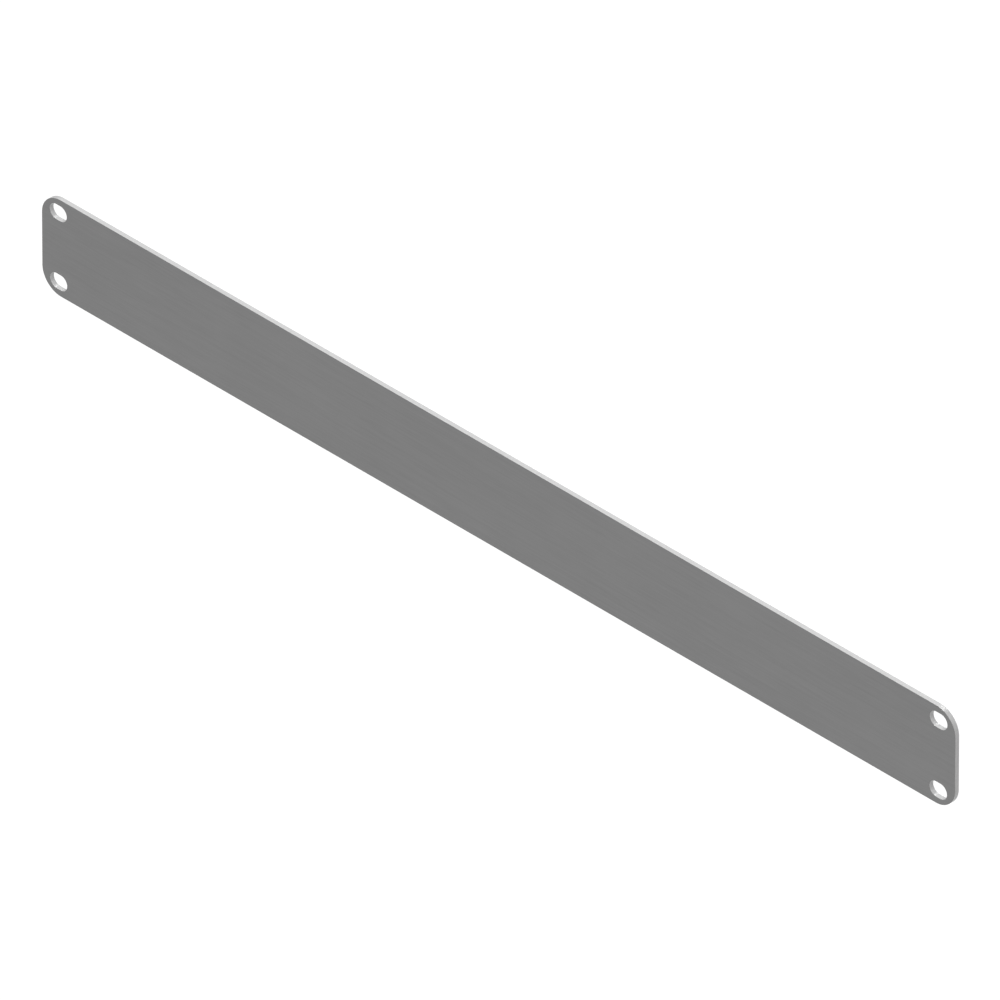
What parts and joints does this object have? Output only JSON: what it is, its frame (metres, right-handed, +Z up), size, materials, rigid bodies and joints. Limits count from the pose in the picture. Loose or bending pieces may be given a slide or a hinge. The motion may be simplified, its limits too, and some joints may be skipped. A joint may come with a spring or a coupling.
{
  "type": "rack blanking panel",
  "caption": "Flat grey aluminium panel with round corners and slotted screw holes at its ends, made to close an empty space in a server rack.",
  "frame": {"origin": "centre of the slot pattern, on the back face that lies on the rack rails", "axes": "+X along the panel's width, +Z up, -Y out of the front face, +Y towards the rack rails"},
  "size_m": [0.4826, 0.002, 0.0444],
  "materials": {
    "panel_sheet": "satin"
  },
  "bodies": {
    "root": {"blanking_panel": "panel_sheet"}
  },
  "joints": []
}
